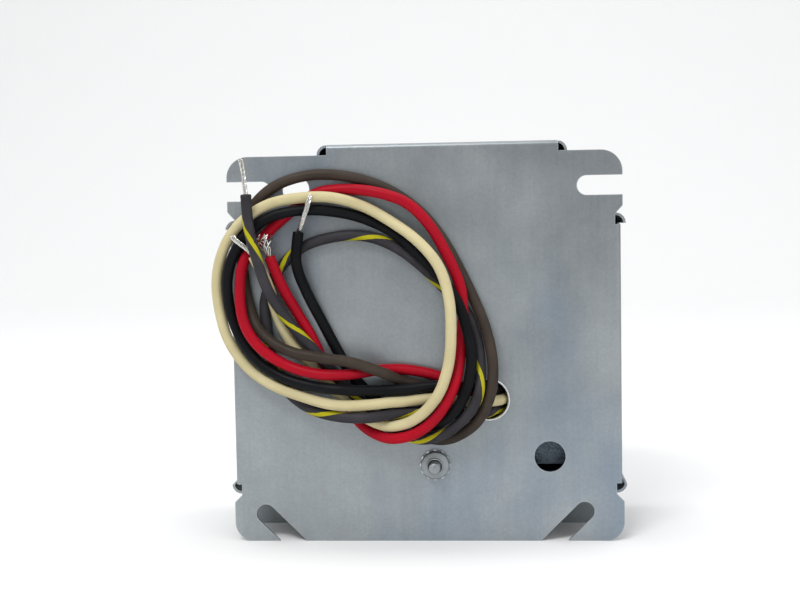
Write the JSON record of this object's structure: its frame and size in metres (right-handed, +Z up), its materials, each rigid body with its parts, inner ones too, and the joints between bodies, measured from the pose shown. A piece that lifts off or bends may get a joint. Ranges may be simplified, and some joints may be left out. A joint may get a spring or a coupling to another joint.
{
  "type": "whole house surge protector",
  "caption": "Metal-cased surge protector with a slotted back plate, bushed lead outlet, bonding screw, coiled stranded leads and a deep front cover.",
  "frame": {"origin": "middle of the case's box at its lower edge, leads left out", "axes": "+Z up along the case's height, -Y out of the back plate where the leads lie, +X to the right as the back plate is looked at"},
  "size_m": [0.1602, 0.0833, 0.155],
  "materials": {
    "case_steel": "satin grey sheet metal with a fine vertical grain",
    "cover_paint": "satin grey painted sheet metal",
    "bright_plate": "bright nickel plating",
    "zinc_plate": "zinc plated steel",
    "galvanised": "mottled galvanised sheet",
    "board_green": "green solder mask on fibreglass",
    "black_plastic": "moulded black plastic",
    "yellow_film": "yellow film capacitor case",
    "button_plastic": "fine textured black plastic",
    "varistor_blue": "blue epoxy coating",
    "fuse_body": "tan ceramic sleeve",
    "led_epoxy": "tinted epoxy",
    "clear_lens": "clear polycarbonate light pipe",
    "insulation_cream": "smooth nylon-jacketed insulation",
    "insulation_black": "smooth nylon-jacketed insulation",
    "insulation_red": "smooth nylon-jacketed insulation",
    "insulation_brown": "smooth nylon-jacketed insulation",
    "insulation_grey": "grey insulation with a yellow spiral stripe",
    "copper_tinned": "tinned stranded copper"
  },
  "bodies": {
    "case": {"rear_plate": "case_steel", "cover": "cover_paint", "exit_bushing": "bright_plate", "ground_screw": "zinc_plate", "star_washer": "bright_plate", "round_nut": "zinc_plate", "ground_lug": "bright_plate", "shield_bracket": "galvanised", "circuit_board": "board_green", "terminal_block": "black_plastic", "filter_capacitor": "yellow_film", "alarm_buzzer": "black_plastic", "button_switch": "black_plastic", "button_spring": "bright_plate", "cover_screw_1": "zinc_plate", "board_standoff_1": "bright_plate", "board_screw_1": "zinc_plate", "cover_screw_2": "zinc_plate", "board_standoff_2": "bright_plate", "board_screw_2": "zinc_plate", "cover_screw_3": "zinc_plate", "board_standoff_3": "bright_plate", "board_screw_3": "zinc_plate", "cover_screw_4": "zinc_plate", "board_standoff_4": "bright_plate", "board_screw_4": "zinc_plate", "varistor_1": "varistor_blue", "varistor_2": "varistor_blue", "varistor_3": "varistor_blue", "varistor_4": "varistor_blue", "varistor_5": "varistor_blue", "varistor_6": "varistor_blue", "terminal_screw_1": "bright_plate", "terminal_screw_2": "bright_plate", "terminal_screw_3": "bright_plate", "terminal_screw_4": "bright_plate", "terminal_screw_5": "bright_plate", "thermal_fuse_1": "fuse_body", "status_led_1": "led_epoxy", "led_lens_1": "clear_lens", "thermal_fuse_2": "fuse_body", "status_led_2": "led_epoxy", "led_lens_2": "clear_lens", "thermal_fuse_3": "fuse_body", "status_led_3": "led_epoxy", "led_lens_3": "clear_lens", "lead_cream": "insulation_cream", "conductor_cream": "copper_tinned", "lead_black": "insulation_black", "conductor_black": "copper_tinned", "lead_red": "insulation_red", "conductor_red": "copper_tinned", "lead_brown": "insulation_brown", "conductor_brown": "copper_tinned", "lead_grey": "insulation_grey", "conductor_grey": "copper_tinned"},
    "button": {"alarm_button": "button_plastic"}
  },
  "joints": [
    {"name": "alarm_button_press", "type": "slide", "parent": "case", "child": "button", "axis": [0, -1, 0], "range_m": [0, 0.0015], "stiffness_N_per_m": 300, "springref_m": -0.001}
  ]
}
